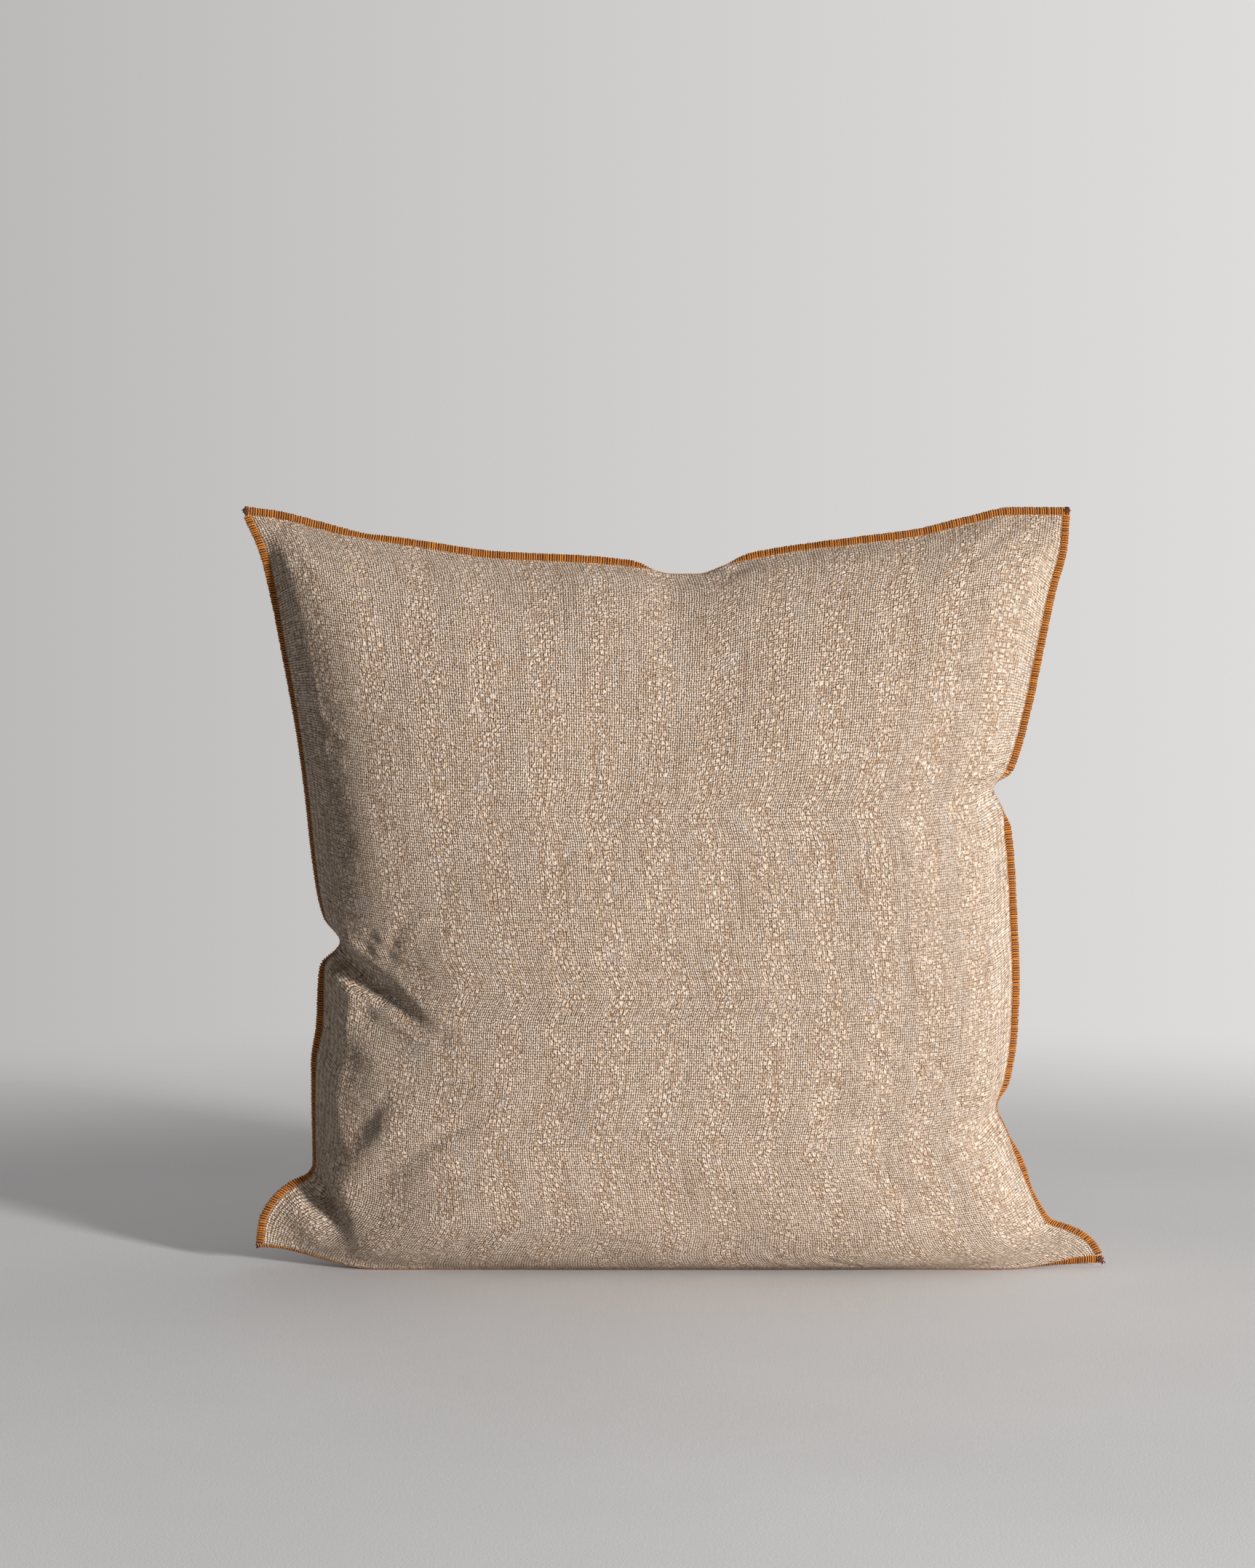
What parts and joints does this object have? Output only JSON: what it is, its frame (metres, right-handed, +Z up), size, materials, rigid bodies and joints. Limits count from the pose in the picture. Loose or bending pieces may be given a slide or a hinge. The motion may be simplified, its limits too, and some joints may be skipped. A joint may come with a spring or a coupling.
{
  "type": "throw pillow",
  "caption": "Square woven throw pillow, plump and standing on its lower edge, with overlocked contrast edging, a zip across the back and a feather insert.",
  "frame": {"origin": "middle of the base, on the surface the pillow stands on", "axes": "+Z up, the front faces -Y, +X to the right as seen from the front"},
  "size_m": [0.515, 0.1676, 0.455],
  "materials": {
    "linen": "coarse plain and nubby striped weave, matt",
    "edging_thread": "twisted overlock thread, matt",
    "knot_thread": "knotted thread ends, matt",
    "zip_tape": "herringbone woven tape, matt",
    "zip_coil": "nylon coil, semi-matt",
    "zip_metal": "aged brass, satin",
    "sewing_thread": "spun sewing thread, matt",
    "ticking": "fine cotton ticking, matt",
    "feather_fill": "feather filling, soft"
  },
  "bodies": {
    "cover": {"front_panel": "linen", "back_panel_upper": "linen", "back_panel_lower": "linen", "edging_top": "edging_thread", "edging_bottom": "edging_thread", "edging_left": "edging_thread", "edging_right": "edging_thread", "knot_top_left": "knot_thread", "knot_top_right": "knot_thread", "knot_bottom_left": "knot_thread", "knot_bottom_right": "knot_thread", "zip_tape_upper": "zip_tape", "zip_tape_lower": "zip_tape", "zip_coil_upper": "zip_coil", "zip_coil_lower": "zip_coil", "zip_stops_closed": "zip_metal", "zip_stop_open": "zip_metal", "zip_stitching_upper": "sewing_thread", "zip_stitching_lower": "sewing_thread", "zip_bar_tacks": "sewing_thread", "insert_front": "ticking", "insert_back": "ticking", "insert_binding": "ticking", "insert_fill": "feather_fill"},
    "slider": {"zip_slider": "zip_metal"},
    "pull": {"zip_pull": "zip_metal"}
  },
  "joints": [
    {"name": "zip_slide", "type": "slide", "parent": "cover", "child": "slider", "axis": [1, 0, 0], "range_m": [-0.301, 0]},
    {"name": "pull_swing", "type": "hinge", "parent": "slider", "child": "pull", "pos_m": [0.1505, 0.06887, 0.06547], "axis": [1, 0, 0], "range_deg": [-14, 155]}
  ]
}
